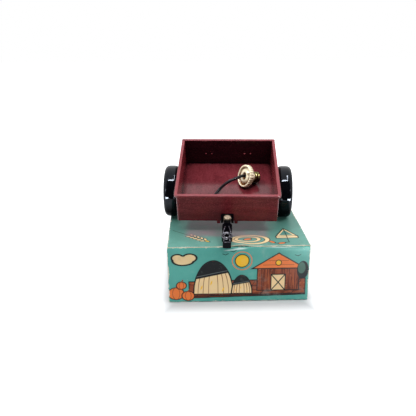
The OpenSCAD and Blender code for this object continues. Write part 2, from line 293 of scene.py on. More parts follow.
def moulded(name, dark, light, roughness, streak=(20, 26, 170), specular=0.6, painted_crevice_shade=False):
    """Moulded plastic: slow streaks of colour and fine scratches, with a painted highlight on the lip's
    top and front corners, painted shade towards the foot of the walls, and optionally painted shade in the
    floor's corners and at the tailgate's seam.
    """
    s = Shader(name)
    flow = s.noise(1.0, 6.0, 0.65, s.stretch(streak), 0.5)
    specks = s.noise(900, 2.0, 0.6)
    col = s.mix(s.ramp(flow, 0.35, 0.68), dark, light)
    hot = s.ramp(s.noise(1.0, 4.0, 0.65, s.stretch([0.4 * v for v in streak]), 0.6), 0.56, 0.78)
    col = s.mix(s.scaled(hot, 0.35), col, (light[0] * 1.7, light[1] * 0.5, light[2] * 0.8))
    col = s.mix(s.scaled(s.ramp(specks, 0.52, 0.68), 0.6), col, [1.5 * v for v in light])
    col = s.mix(s.scaled(s.ramp(specks, 0.46, 0.3), 0.5), col, [0.45 * v for v in dark])
    # position in the tray's own frame, in millimetres
    inv = TRAY.inverted()
    to_tray = s.node("ShaderNodeMapping", {"Vector": s.place}, vector_type="POINT")
    to_tray.inputs["Rotation"].default_value = inv.to_euler()
    to_tray.inputs["Location"].default_value = inv.translation
    to_tray.inputs["Scale"].default_value = (1000, 1000, 1000)
    at = s.node("ShaderNodeSeparateXYZ", {0: to_tray.outputs["Vector"]}).outputs
    # painted shade: darker towards the foot of the walls, standing in for the shaded carton top they
    # mirror
    col = s.mix(s.ramp(at["Z"], -31.0, -5.0, 0.4, 0.0), col, [0.35 * v for v in dark])
    # painted highlight: the top of the lip and its front corners are lighter, as where their rounded edges
    # catch the lamps
    top = s.ramp(at["Z"], -0.9, -0.15)
    side = s.ramp(s.math("ABSOLUTE", at["X"]), 46.0, 46.7)
    nose = s.math("SUBTRACT", 1.0, s.ramp(at["Y"], 1.9, 2.7))
    painted_light = s.math("MAXIMUM", top, s.math("MULTIPLY", side, nose))
    painted_light = s.math("MULTIPLY", painted_light, s.math("ADD", 0.55, s.scaled(s.noise(120, 4.0), 0.7), clamp=True))
    col = s.mix(painted_light, col, RIM_HIGHLIGHT)
    if painted_crevice_shade:
        # painted shade: dark where the floor meets the walls, and black without reflection from the
        # tailgate's seam outwards, where the gap lies in shade
        ao = s.node("ShaderNodeAmbientOcclusion", {"Distance": 0.009}, samples=8).outputs["AO"]
        col = s.mix(s.ramp(ao, 0.25, 0.8), DEEP_SHADE, col)
        seam = s.ramp(at["Y"], 93.0, 93.7)
        col = s.mix(seam, col, DEEP_SHADE)
        specular = s.math("MULTIPLY", s.math("SUBTRACT", 1.0, seam), specular)
    scratch = s.noise(1.0, 2.0, 0.5, s.stretch((1400, 60, 500)))
    rough = s.math("ADD", roughness, s.swing(s.noise(70, 4.0), 0.12))
    normal = s.bump(s.math("ADD", s.noise(160, 3.0), s.scaled(scratch, 0.3)), 0.12, 0.0002)
    return s.set(Base_Color=col, Roughness=rough, Normal=normal, Specular_IOR_Level=specular)


def metal(name, dark, light, roughness, metallic=1.0, scale=350, under=None):
    """Metal with clouds of tarnish; under is a colour of painted shade for what looks down."""
    s = Shader(name)
    tarnish = s.noise(scale, 5.0, 0.65)
    col = s.mix(s.ramp(tarnish, 0.35, 0.65), dark, light)
    if under:
        col = s.mix(s.below(-0.6, 0.1), col, under)
    rough = s.math("ADD", roughness, s.swing(tarnish, 0.4))
    normal = s.bump(s.noise(900, 3.0), 0.2, 0.0001)
    return s.set(Base_Color=col, Roughness=rough, Metallic=metallic, Normal=normal)


PALE_IVORY = (0.96, 0.85, 0.61)
# painted shade: the brown of the ivory's hollows and undersides
SHADE_BROWN = (0.19, 0.065, 0.01)


def ivory(name, shade_heights=None):
    """Cream moulding with painted shade, brown in its hollows and on faces that look down; the optional
    pair of heights is where the hollow shade fades upwards.
    """
    s = Shader(name)
    # painted shade: brown where ambient occlusion finds a hollow, stirred by random clouds
    ao = s.node("ShaderNodeAmbientOcclusion", {"Distance": 0.004}, samples=8)
    cloud = s.swing(s.noise(260, 4.0), 0.45)
    occlusion_shade = s.math("ADD", s.math("SUBTRACT", 1.0, ao.outputs["AO"]), cloud)
    hollow_shade = s.ramp(occlusion_shade, 0.09, 0.34)
    if shade_heights:
        hollow_shade = s.math("MULTIPLY", hollow_shade, s.ramp(s.height(), *shade_heights, 1.0, 0.3))
    painted_shade = s.math("MAXIMUM", hollow_shade, s.scaled(s.below(-0.25, 0.55), 0.85))
    col = s.mix(painted_shade, PALE_IVORY, SHADE_BROWN)
    rough = s.math("ADD", 0.2, s.scaled(s.noise(200, 3.0), 0.15))
    normal = s.bump(s.noise(500, 3.0), 0.15, 0.0002)
    return s.set(Base_Color=col, Roughness=rough, Normal=normal, Specular_IOR_Level=0.6)


def black(name, tone, roughness, specular, grain=600, worn=0.0, reflection_shade_heights=None, tint=(1, 1, 1)):
    """Black rubber, plastic or enamel; the optional pair of heights is where the reflection fades in
    upwards from almost none at the foot, a painted shade.
    """
    s = Shader(name)
    cloud = s.noise(80, 4.0)
    col = s.mix(cloud, (tone * 0.7, tone * 0.75, tone * 1.1), (tone * 1.4, tone * 1.5, tone * 2.4))
    if worn:
        bare = s.scaled(s.ramp(s.noise(420, 5.0, 0.7), 0.64, 0.74), worn)
        col = s.mix(bare, col, (0.16, 0.16, 0.18))
    if reflection_shade_heights:
        specular = s.ramp(s.height(), *reflection_shade_heights, 0.015, specular)
    s.set(Specular_IOR_Level=specular, Specular_Tint=tint)
    rough = s.math("ADD", roughness, s.swing(cloud, 0.2))
    return s.set(Base_Color=col, Roughness=rough, Normal=s.bump(s.noise(grain, 3.0), 0.18, 0.0002))


MAROON = moulded("maroon_plastic", (0.15, 0.0145, 0.02), (0.23, 0.028, 0.035), 0.22, specular=0.21)
MAROON_FLOOR = moulded(
    "maroon_plastic_floor", (0.145, 0.0205, 0.028), (0.26, 0.041, 0.053), 0.14, (110, 26, 60), 0.64, True
)
# painted shade: a near-black copy of the maroon plastic for the tailgate's inner side
MAROON_SHADED = moulded(
    "maroon_plastic_gate_painted_shade", (0.01, 0.0012, 0.003), (0.02, 0.0025, 0.005), 0.25, specular=0.22
)
# painted shade: a near-black, dull copy of the maroon plastic for the hinge lugs and pins
LUG_SHADED = moulded("maroon_plastic_lugs_painted_shade", (0.006, 0.001, 0.002), (0.012, 0.0015, 0.003), 0.65, specular=0.02)
# painted light: a lighter copy of the maroon plastic, so the studs read as lit dots on the shaded gate
STUD_LIT = moulded("maroon_plastic_studs_painted_light", (0.2, 0.03, 0.04), (0.3, 0.05, 0.06), 0.3, specular=0.3)
# painted shade: the tyre's reflection is dimmed on its lower part
TYRE = black("tyre_rubber", 0.0022, 0.05, 0.3, reflection_shade_heights=(0.066, 0.078), tint=(0.77, 0.86, 1.0))
BLACK_PLASTIC = black("black_plastic", 0.012, 0.35, 0.23)
BLACK_METAL = black("black_enamel", 0.0015, 0.16, 0.06, 420, worn=0.35, tint=(0.7, 0.8, 1.0))
# painted highlight: pale clouds on the black enamel of the drawbar's raised edges stand in for glints
BLACK_GLINTS = metal("enamel_painted_glints", (0.008, 0.008, 0.012), (0.3, 0.3, 0.34), 0.25, 0.6, 700)
CORD = black("black_cord", 0.004, 0.3, 0.24, 1500)
CREAM = ivory("cream_plastic")
IVORY = ivory("ivory_plastic", shade_heights=(0.0965, 0.1035))
BRASS = metal("brass", (0.42, 0.3, 0.07), (0.82, 0.63, 0.22), 0.28)
# painted shade: the tail's faces that look down are darkened
TAIL = metal("tarnished_brass", (0.17, 0.14, 0.045), (0.46, 0.4, 0.18), 0.3, under=(0.03, 0.012, 0.006))
STEEL = metal("steel", (0.2, 0.18, 0.16), (0.5, 0.47, 0.43), 0.35)
BOLT = metal("aged_steel", (0.16, 0.11, 0.07), (0.45, 0.36, 0.26), 0.45, 0.6)

# inks of the print
TEAL = (0.075, 0.32, 0.272)
# painted shade: the top's teal is a darker copy of the front's, as the lamps light the top more
TEAL_TOP_SHADED = (0.098, 0.262, 0.215)
CARD_CREAM = (0.84, 0.62, 0.33)
ORANGE = (0.78, 0.19, 0.045)
BROWN = (0.26, 0.055, 0.02)
YELLOW = (0.87, 0.5, 0.03)
INK = (0.004, 0.006, 0.008)


class Print(Shader):
    """Printed card: shapes are painted one over another, as in offset print, then worn at the edges."""

    def __init__(self, name, across, up, ground, box):
        super().__init__(name)
        xyz = self.node("ShaderNodeSeparateXYZ", {0: self.place}).outputs
        # millimetres across and up the panel, with the slight wobble of a drawn line
        self.u = self.math("ADD", self.scaled(xyz[across], 1000.0), self.swing(self.noise(90, 2.0), 0.7))
        self.v = self.math("ADD", self.scaled(xyz[up], 1000.0), self.swing(self.noise(83, 2.0), 0.7))
        tint = self.noise(24, 4.0, 0.6)
        lighter = tuple(min(1.0, c * 1.25 + 0.012) for c in ground)
        self.col = self.mix(self.ramp(tint, 0.3, 0.75), ground, lighter)
        self.box = box

    # distances, in millimetres: below zero is inside
    def oval(self, x, y, a, b=None, turn=0.0):
        b = b or a
        du, dv = self.local(x, y, turn)
        across = self.math("POWER", self.math("DIVIDE", du, a), 2.0)
        up = self.math("POWER", self.math("DIVIDE", dv, b), 2.0)
        q = self.math("SQRT", self.math("ADD", across, up))
        return self.scaled(self.math("SUBTRACT", q, 1.0), min(a, b))

    def local(self, x, y, turn=0.0):
        du = self.math("SUBTRACT", self.u, x)
        dv = self.math("SUBTRACT", self.v, y)
        if not turn:
            return du, dv
        c = math.cos(math.radians(turn))
        s = math.sin(math.radians(turn))
        along = self.math("ADD", self.scaled(du, c), self.scaled(dv, s))
        off = self.math("SUBTRACT", self.scaled(dv, c), self.scaled(du, s))
        return along, off

    def rect(self, x, y, a, b, turn=0.0):
        du, dv = self.local(x, y, turn)
        across = self.math("SUBTRACT", self.math("ABSOLUTE", du), a)
        return self.math("MAXIMUM", across, self.math("SUBTRACT", self.math("ABSOLUTE", dv), b))

    def gable(self, x, y, a, b):
        """Triangle with its base centre at x, y, half width a and height b."""
        du, dv = self.local(x, y)
        k = a / b
        side = self.math("SUBTRACT", self.math("ADD", self.math("ABSOLUTE", du), self.scaled(dv, k)), a)
        return self.math("MAXIMUM", self.scaled(side, 1 / math.hypot(1, k)), self.scaled(dv, -1.0))

    def stroke(self, x0, y0, x1, y1, w):
        """Straight stroke of width w."""
        turn = math.degrees(math.atan2(y1 - y0, x1 - x0))
        half = (math.hypot(x1 - x0, y1 - y0) + w) / 2
        return self.rect((x0 + x1) / 2, (y0 + y1) / 2, half, w / 2, turn)

    def paint(self, d, colour, soft=0.3):
        mask = self.math("SUBTRACT", 0.5, self.math("DIVIDE", d, soft), clamp=True)
        self.col = self.mix(mask, self.col, colour)

    def line(self, d, w, colour=INK):
        self.paint(self.math("SUBTRACT", self.math("ABSOLUTE", d), w / 2), colour)

    def boards(self, angle):
        """Brown with dark strokes of grain, as on planks or turned earth."""
        way = {"Vector": self.place, "Angle": math.radians(angle)}
        turned = self.node("ShaderNodeVectorRotate", way, rotation_type="Y_AXIS")
        grain = self.noise(1.0, 4.0, 0.6, self.stretch((55, 55, 420), turned.outputs[0]), 0.6)
        col = self.mix(self.ramp(grain, 0.42, 0.5), (0.1, 0.02, 0.008), BROWN)
        return self.mix(self.ramp(grain, 0.58, 0.66), col, (0.42, 0.1, 0.03))

    def filled(self, d, colour, w=1.0):
        self.paint(d, colour)
        self.line(d, w)

    def haystack(self, x, y, a, b):
        """Domed stack of straw with its foot at x, y, half width a and height b, under a dark cover."""
        dome = self.math("MAXIMUM", self.oval(x, y, a, b), self.math("SUBTRACT", y, self.v))
        self.filled(dome, CARD_CREAM, 1.2)
        for k in (0.78, 0.52, 0.24):
            strand = self.math("SUBTRACT", self.math("ABSOLUTE", self.oval(x, y, a * k, b * 0.96)), 0.25)
            self.paint(self.math("MAXIMUM", dome, strand), BROWN)
        for k, h in ((-0.6, 0.2), (-0.1, 0.34), (0.5, 0.14)):
            self.paint(self.oval(x + a * k, y + b * h, a * 0.12, a * 0.035, 70), YELLOW)
        slope = self.math("MULTIPLY", self.math("SUBTRACT", self.u, x), 0.2)
        above = self.math("SUBTRACT", self.math("ADD", y + b * 0.56, slope), self.v)
        self.paint(self.math("MAXIMUM", dome, above), INK)
        hem = self.math("SUBTRACT", self.math("ABSOLUTE", self.math("ADD", above, b * 0.07)), 0.35)
        self.paint(self.math("MAXIMUM", dome, hem), (0.09, 0.11, 0.11))

    def finish(self, wear=0.5):
        """Rubs the panel's edges over a width of wear and lays specks and patches over the print."""
        (u0, u1), (v0, v1) = self.box
        near_u = self.math("MINIMUM", self.math("SUBTRACT", self.u, u0), self.math("SUBTRACT", u1, self.u))
        near_v = self.math("MINIMUM", self.math("SUBTRACT", self.v, v0), self.math("SUBTRACT", v1, self.v))
        edge = self.math("MINIMUM", near_u, near_v)
        ragged = self.math("ADD", edge, self.swing(self.noise(150, 5.0, 0.7), 5.0))
        worn = self.math("LESS_THAN", ragged, wear)
        self.col = self.mix(self.scaled(worn, 0.85), self.col, (0.78, 0.72, 0.6))
        # pale specks, pale rubbed patches and dark soiled patches
        for scale, detail, grain, lo, hi, much, colour in (
            (700, 3.0, 0.7, 0.66, 0.74, 0.5, (0.72, 0.78, 0.72)),
            (38, 5.0, 0.7, 0.55, 0.8, 0.22, (0.6, 0.72, 0.66)),
            (30, 6.0, 0.75, 0.6, 0.8, 0.25, (0.03, 0.06, 0.05)),
        ):
            patch = self.ramp(self.noise(scale, detail, grain), lo, hi)
            self.col = self.mix(self.scaled(patch, much), self.col, colour)
        rough = self.math("ADD", 0.36, self.swing(self.noise(45, 4.0), 0.25))
        fibres = self.noise(1.0, 3.0, 0.6, self.stretch((900, 900, 900)))
        normal = self.bump(self.noise(26, 3.0), 0.25, 0.0008, self.bump(fibres, 0.12, 0.0002))
        return self.set(Base_Color=self.col, Roughness=rough, Normal=normal, Specular_IOR_Level=0.17)


# half width, half depth and height of the carton and thickness of its card, in millimetres
HW = 63.9
HD = 66.0
H = 55.2
CARD = 0.6
CLOUD = ((-50, 42, 9, 4.6), (-44, 44.5, 6, 4), (-55, 44.5, 5, 3.6))


def front_print():
    p = Print("print_front", "X", "Z", TEAL, ((-HW, HW), (0, H)))
    # ploughed field with furrows
    p.filled(p.rect(8, 13.5, 53, 8.2, 1.0), p.boards(8), 1.0)
    for x in (-38, -8, 6, 20, 48):
        p.paint(p.stroke(x, 6.5, x + 9, 20.5, 0.5), INK)
    p.paint(p.stroke(-45, 6, 60, 7.2, 1.2), INK)
    # barn
    p.filled(p.rect(36, 22, 19, 11), p.boards(90), 1.0)
    for x in (21, 26, 46, 51):
        p.paint(p.stroke(x, 11.5, x, 32, 0.5), INK)
    p.filled(p.gable(36, 33, 24, 15), ORANGE, 1.1)
    for y in (36.5, 40.5):
        p.paint(p.stroke(36 - (48 - y) * 1.2, y, 36 + (48 - y) * 1.2, y, 0.45), BROWN)
    p.filled(p.rect(36, 19, 6.5, 8), CARD_CREAM, 1.0)
    p.paint(p.stroke(30, 11.5, 42, 26.5, 1.0), INK)
    p.paint(p.stroke(42, 11.5, 30, 26.5, 1.0), INK)
    p.filled(p.oval(36, 38.5, 2.6), YELLOW, 0.8)
    # two haystacks under dark covers
    p.haystack(-23, 8, 18, 33)
    p.haystack(3, 8, 9.5, 18)
    # pumpkins in the corner
    for x, y, a in ((-57, 9, 7.5), (-46, 6.5, 5.8), (-52, 17, 4.6)):
        p.filled(p.oval(x, y, a, a * 0.82), ORANGE, 0.8)
        p.line(p.oval(x, y, a * 0.45, a * 0.8), 0.4, BROWN)
        p.paint(p.stroke(x, y + a * 0.8, x + 1.2, y + a * 1.15, 1.1), BROWN)
    # cloud, sun and birds
    for puff in CLOUD:
        p.line(p.oval(*puff), 1.6)
    for x, y, a, b in CLOUD:
        p.paint(p.oval(x, y, a - 0.6, b - 0.6), CARD_CREAM)
    p.filled(p.oval(3, 41, 6.2), YELLOW, 0.9)
    p.line(p.oval(3, 41, 8.8), 0.8, ORANGE)
    for x, y in ((-12, 47), (-5, 50), (53, 45)):
        p.paint(p.stroke(x - 2.5, y + 1, x, y, 0.6), INK)
        p.paint(p.stroke(x, y, x + 2.5, y + 1.2, 0.6), INK)
    # card rubbed white by the fold
    scuffs = ((-3, 52.2, 7, 0.35, 3), (1, 53.2, 5, 0.5, 2), (-9, 51.4, 3, 0.3, 6), (38, 53.6, 9, 0.25, 0))
    for scuff in scuffs:
        p.paint(p.oval(*scuff), (0.7, 0.85, 0.8), 0.5)
    # tree behind the barn
    p.paint(p.rect(58.5, 17, 1, 9), BROWN)
    p.paint(p.oval(58, 31, 5.4, 9), INK)
    p.paint(p.oval(57, 33, 3.4, 5.6), (0.05, 0.12, 0.09))
    return p.finish()


def top_print():
    p = Print("print_top", "X", "Y", TEAL_TOP_SHADED, ((-HW, HW), (-HD, HD)))
    # an ear of corn, on a thin dark stem
    p.paint(p.stroke(-60, -26, -36, -46, 0.7), INK)
    for i in range(5):
        x, y = -44 + i * 3.2, -39.5 - i * 2.7
        p.filled(p.oval(x + 1.6, y + 1.8, 2.6, 1.3, -75), CARD_CREAM, 0.5)
        p.filled(p.oval(x - 1.2, y - 1.9, 2.6, 1.3, -5), CARD_CREAM, 0.5)
    p.filled(p.oval(-28, -53, 3, 1.3, -40), YELLOW, 0.5)
    # kite and its tail
    p.filled(p.gable(46, -44, 10, 19), CARD_CREAM, 1.1)
    p.paint(p.gable(46, -41.5, 6.5, 12.5), TEAL_TOP_SHADED)
    p.filled(p.rect(46, -46, 10.2, 2.4), CARD_CREAM, 1.0)
    p.paint(p.stroke(46, -58, 46, -26, 0.8), INK)
    for a in ((45, -58, 34, -60), (34, -60, 27, -54), (27, -54, 19, -60)):
        p.paint(p.stroke(*a, 0.9), INK)
    for x, y, t in ((39, -60, 15), (30.5, -57, -45), (23, -57, 35)):
        p.filled(p.oval(x, y, 3.6, 1.6, t), ORANGE, 0.5)
    # cream swirl of a hill path
    p.line(p.oval(11, -51, 16, 10), 3.4, INK)
    p.line(p.oval(11, -51, 16, 10), 2.4, CARD_CREAM)
    p.line(p.oval(9, -50, 10.5, 6), 2.6, INK)
    p.line(p.oval(9, -50, 10.5, 6), 1.8, CARD_CREAM)
    p.filled(p.oval(9, -50, 4, 2.2, 20), ORANGE, 0.6)
    # seed heads further back
    for x, y, t in ((-30, 20, 20), (10, 30, -15), (40, 5, 40), (-45, 50, 0), (30, 52, 10)):
        p.filled(p.oval(x, y, 9, 4, t), CARD_CREAM, 0.8)
        p.paint(p.oval(x + 1, y, 3, 1.6, t), YELLOW)
    # painted shade and reflection: a dull lilac where the trailer stands over the top, for its maroon
    # mirrored in the shaded card
    painted_light = p.math("SUBTRACT", 0.5, p.math("DIVIDE", p.rect(-8, -22, 38, 21, -4), 6.0), clamp=True)
    painted_light = p.math("MULTIPLY", painted_light, p.scaled(p.noise(60, 4.0), 1.1))
    p.col = p.mix(painted_light, p.col, (0.3, 0.17, 0.21))
    return p.finish()


def side_print():
    p = Print("print_side", "Y", "Z", TEAL, ((-HD, HD), (0, H)))
    p.filled(p.rect(0, 7, 70, 3.4, 0.6), BROWN, 0.7)
    for y in (-48, -16, 16, 48):
        p.haystack(y, 11, 8.5, 17)
        p.filled(p.oval(y + 15, 13.5, 4, 3.2), ORANGE, 0.7)
    p.filled(p.oval(-20, 43, 6), YELLOW, 0.8)
    return p.finish(0.3)


def back_print():
    p = Print("print_back", "X", "Z", TEAL, ((-HW, HW), (0, H)))
    p.filled(p.rect(0, 7, 66, 3.6, -0.8), BROWN, 0.7)
    p.filled(p.rect(-20, 20, 13, 9), BROWN, 0.8)
    p.filled(p.gable(-20, 29, 17, 12), ORANGE, 0.9)
    p.haystack(28, 10, 13, 25)
    return p.finish()


def bare_card():
    """Unprinted card, flecked."""
    s = Shader("bare_card")
    col = s.mix(s.ramp(s.noise(300, 5.0, 0.7), 0.3, 0.7), (0.5, 0.4, 0.25), (0.72, 0.62, 0.42))
    return s.set(Base_Color=col, Roughness=0.8, Normal=s.bump(s.noise(1200, 3.0), 0.4, 0.0002))


FRONT = front_print()
TOP = top_print()
SIDE = side_print()
BACK = back_print()
BARE = bare_card()

# ---------------------------------------------------------------- carton
def card_strip(name, line, along, body, mats, warp, pick, **kw):
    """Bent card: a centre line of (y, z) points swept along X, with real thickness and a slow warp."""

    def normal(i):
        a = line[max(i - 1, 0)]
        b = line[min(i + 1, len(line) - 1)]
        d = math.hypot(b[0] - a[0], b[1] - a[1])
        return (b[1] - a[1]) / d, -(b[0] - a[0]) / d

    h = CARD / 2
    rings = []
    for x in along:
        ring = []
        for face in (1, -1):
            for i in range(len(line))[::face]:
                n = normal(i)
                dy, dz = warp(x, *line[i])
                ring.append((x, line[i][0] + face * h * n[0] + dy, line[i][1] + face * h * n[1] + dz))
        rings.append(ring)
    verts, faces = skin(rings)
    obj = add(name, verts, faces, body, mats[0], space=ROW, **kw)
    for m in mats[1:]:
        obj.data.materials.append(m)
    for poly in obj.data.polygons:
        poly.material_index = pick(poly.center * 1000, poly.normal)


def corner(cy, cz, a0, a1, r=0.8):
    """Points of a fold, from one angle to another in degrees."""
    turns = [math.radians(a) for a in steps(a0, a1, 4)]
    return [(cy + r * math.cos(a), cz + r * math.sin(a)) for a in turns]


def slow(x, y, z, k, seed=0.0):
    """Slow noise over millimetres."""
    return noise.noise(Vector((x * k + seed, y * k, z * k)))


def unit(v):
    return max(0.0, min(1.0, v))


# middle of the card of the back wall, and of its folds, which have a radius of 0.8
WALL_Y = HD - CARD / 2
FOLD_Y = WALL_Y - 0.8
# sleeve: back edge -> back -> floor -> front -> glue flap under the top panel
sleeve_line = [(WALL_Y, z) for z in steps(H - 0.9, 1.4, 8)]
sleeve_line += corner(FOLD_Y, 1.1, 0, -90)[1:-1]
sleeve_line += [(y, CARD / 2) for y in steps(64.6, -64.6, 14)]
sleeve_line += corner(-FOLD_Y, 1.1, -90, -180)[1:-1]
sleeve_line += [(-WALL_Y, z) for z in steps(1.4, H - 1.7, 10)]
sleeve_line += corner(-FOLD_Y, H - 1.65, 180, 90)[1:]
sleeve_line += [(y, H - 0.88) for y in steps(-64, -52.6, 4)]


def sleeve_warp(x, y, z):
    """The front and back walls bow a little, and the front's upper edge dips in the middle."""
    up = unit(z / 20) * unit((H - z) / 12)
    dy = 0.0
    if y < -60:
        dy = (0.45 * slow(x, 0, z, 0.03) + 0.25) * up
    elif y > 60:
        dy = (0.4 * slow(x, 9, z, 0.03) - 0.2) * up
    dip = -0.25 * math.exp(-((x - 2) / 9) ** 2) if z > H - 1.5 and y < 0 else 0.0
    return dy, dip


def sleeve_pick(c, n):
    """Front print, back print, or bare card on the inside and on the cut edges."""
    inside = abs(c.y) < 65.45 and 0.55 < c.z < H - 1.1
    if inside or abs(n.x) > 0.7:
        return 2
    if c.y > 60 and c.z > 1:
        return 1
    return 0 if c.y < -64.8 or c.z < 1.0 or c.z > H - 1.1 else 2


card_strip("carton_sleeve_skin", sleeve_line, steps(-HW, HW, 42), "carton", [FRONT, BACK, BARE],
           sleeve_warp, sleeve_pick, stands_for=("carton_sleeve",), slot="carton_print")


def top_warp(x, y, z):
    """The near edge lifts in the middle and waves a little, and the rest sags a little."""
    near = unit((-50 - y) / 15)
    lift = 1.5 * math.exp(-((x - 1) / 8.5) ** 2) * near
    wave = 0.12 * slow(x, y, 0, 0.05, 3.0) * near
    across = math.sin(math.pi * (x + HW) / (2 * HW))
    sag = -0.35 * across * math.sin(math.pi * unit((y + HD) / (2 * HD)))
    dy = 0.25 * slow(x, 0, 0, 0.08, 5.0) * near - 0.2 * near
    return dy, lift + wave + sag * (1 - near)


def top_pick(c, n):
    return 0 if n.z > 0.3 or (c.y > 65.2 and n.y > 0.2) else 1


top_line = [(WALL_Y, H - 0.8), (65.62, H - 0.5)] + [(y, H - 0.28) for y in steps(65.2, -65.55, 40)]
card_strip("carton_top_skin", top_line, steps(-HW, HW, 84), "carton", [TOP, BARE], top_warp, top_pick,
           stands_for=("carton_top_panel",), slot="carton_print")

for word in ("left", "right"):
    dress(f"end_panel_{word}", SIDE)
    for node in (f"tuck_tongue_{word}", f"dust_flap_{word}_front", f"dust_flap_{word}_back"):
        dress(node, BARE)

# ---------------------------------------------------------------- tray
# in the tray frame: top of the floor, inner faces of the side and front walls, rear end of the
# side walls, and underside
FLOOR = -28.6
INNER_X = 45.5
INNER_Y = 3
WALL_END = 93.85
UNDER = -31.0


def around(cx, cy, r, a0, a1):
    """Points and outward directions of a rounded corner in plan, without its two ends."""
    turns = [math.radians(a) for a in steps(a0, a1, 6)[1:-1]]
    return [((cx + r * math.cos(a), cy + r * math.sin(a)), (math.cos(a), math.sin(a))) for a in turns]


def tray_wall():
    """Lipped wall swept round the front and both sides of the tray, open at the back."""
    # offset outwards from the inner face, and height
    profile = [
        (1.2, UNDER), (1.3, -24), (1.34, -10), (1.38, -3.5), (1.48, -3.15), (1.75, -3.02), (2.6, -3.0),
        (2.92, -2.75), (3.0, -2.3), (3.0, -0.8), (2.94, -0.42), (2.7, -0.12), (2.3, 0.0), (0.7, 0.0),
        (0.3, -0.12), (0.06, -0.5), (0.0, -1.2), (0.0, -10), (0.02, -24), (0.05, -28.3), (0.3, -30.9),
    ]
    r = 0.5
    bend_x = INNER_X - r
    bend_y = INNER_Y + r
    path = [((-INNER_X, y), (-1, 0)) for y in steps(WALL_END, bend_y, 24)]
    path += around(-bend_x, bend_y, r, 180, 270)
    path += [((x, INNER_Y), (0, -1)) for x in steps(-bend_x, bend_x, 24)]
    path += around(bend_x, bend_y, r, 270, 360)
    path += [((INNER_X, y), (1, 0)) for y in steps(bend_y, WALL_END, 24)]
    rings = []
    for (x, y), (nx, ny) in path:
        ring = []
        for u, z in profile:
            b = 0.1 * slow(x, y, z, 0.02, 11.0) * min(1.0, -z / 6)
            ring.append((x + nx * (u + b), y + ny * (u + b), z))
        rings.append(ring)
    return skin(rings)


def hinge_lugs():
    """Round-topped lugs on the floor, two for each hinge of the tailgate, about its pin."""
    pin_y = 94.8
    pin_z = FLOOR + 1
    r = 1.55
    arc = [math.radians(a) for a in steps(0, 180, 10)]
    prof = [(93.25, FLOOR - 0.1), (96.05, FLOOR - 0.1)]
    prof += [(pin_y + r * math.cos(a), pin_z + r * math.sin(a)) for a in arc]
    parts = []
    for hinge_x in (-20.5, 20.5):
        for s in (-1, 1):
            middle = hinge_x + s * 3.28
            parts.append(skin([[(x, y, z) for y, z in prof] for x in (middle - 0.92, middle + 0.92)]))
    return join(*parts)


floor_block = block((-46.2, 2.3, -30.98), (46.2, 96.1, FLOOR))
feet = join(*[block((s * 8.2 - 1.5, 1.75, -34.4), (s * 8.2 + 1.5, 6, -30.5)) for s in (-1, 1)])
as_tray = {"stands_for": ("tray",), "slot": "maroon_plastic"}
add("tray_walls", *tray_wall(), "trailer", MAROON, smooth=50, **as_tray)
add("tray_floor", *floor_block, "trailer", MAROON_FLOOR, bevel=0.25, **as_tray)
add("tray_lugs", *feet, "trailer", MAROON, bevel=0.4, **as_tray)
add("tray_hinge_lugs", *hinge_lugs(), "trailer", LUG_SHADED, bevel=0.15, **as_tray)

# ---------------------------------------------------------------- wheels
HALF_TRACK = 56.2
AXLE_Y = 51.27
AXLE_Z = -33.55


def wheel_space(side):
    """Frame of a wheel: its centre on the axle, +Z outwards."""
    centre = Matrix.Translation((side * HALF_TRACK, AXLE_Y, AXLE_Z))
    return TRAY @ centre @ Matrix.Rotation(side * math.pi / 2, 4, "Y")


def tyre_profile():
    """Smooth tyre with rounded shoulders, as (radius, offset from its middle)."""
    half = [
        (19.02, 4.9), (20.03, 5.05), (20.2, 6.2), (20.7, 6.75), (21.6, 7.0), (22.6, 7.0), (23.5, 6.75),
        (24.4, 6.2), (25.15, 5.3), (25.65, 4.2), (25.9, 2.9), (25.98, 1.4), (26.0, 0.0),
    ]
    return half + [(r, -z) for r, z in reversed(half[:-1])] + [(19.02, 4.9)]


for side, word in ((-1, "left"), (1, "right")):
    add(f"tyre_{word}_skin", *lathe(tyre_profile(), 144), f"wheel_{word}", TYRE, space=wheel_space(side),
        stands_for=(f"tyre_{word}",), slot="tyre_rubber", smooth=60)

# ---------------------------------------------------------------- hand wheel
KNOB = (
    TRAY
    @ Matrix.Translation((16.05, 53.8, -16.4))
    @ Matrix.Rotation(math.radians(205.2), 4, "Z")
    @ Matrix.Rotation(math.radians(66.4), 4, "Y")
)
knob_profile = [
    (0, -11.2), (3.9, -11.2), (4.2, -11.0), (4.2, -8.6), (4.5, -8.0), (6.0, -6.8), (8.8, -5.0),
    (9.6, -4.65), (10.6, -4.5), (11.0, -4.35), (11.3, -4.0), (11.3, -0.9), (11.2, -0.5), (10.9, -0.15),
    (10.5, 0.0), (10.0, 0.02), (9.6, -0.1), (9.3, -0.45), (9.05, -1.2), (8.85, -2.0), (8.6, -2.25),
    (8.2, -2.2), (7.7, -1.8), (7.0, -1.1), (6.2, -0.45), (5.4, -0.05), (4.7, 0.05), (3.9, -0.05),
    (3.3, -0.45), (2.75, -1.2), (2.4, -2.4), (2.2, -3.6), (2.2, -4.9), (2.0, -5), (0, -5),
]
FLUTES = 26


def knurl(r, a):
    """Depth of the grip flutes at a radius and an angle."""
    wave = max(0.0, math.cos(FLUTES * a))
    if r > 11.1:
        return -0.75 * wave ** 1.2
    return -0.4 * wave if r > 10.8 else 0.0


def notch(verts):
    """Small round locking notch pressed into the groove beside the hub."""
    out_from_hub = 7.2
    r = 1.5
    depth = 2.6
    nx = out_from_hub * math.cos(math.radians(135))
    ny = out_from_hub * math.sin(math.radians(135))
    out = []
    for x, y, z in verts:
        d = math.hypot(x - nx, y - ny)
        pressed = depth * (1 - (d / r) ** 2) ** 0.5 if d < r and z > -depth else 0.0
        out.append((x, y, z - pressed))
    return out


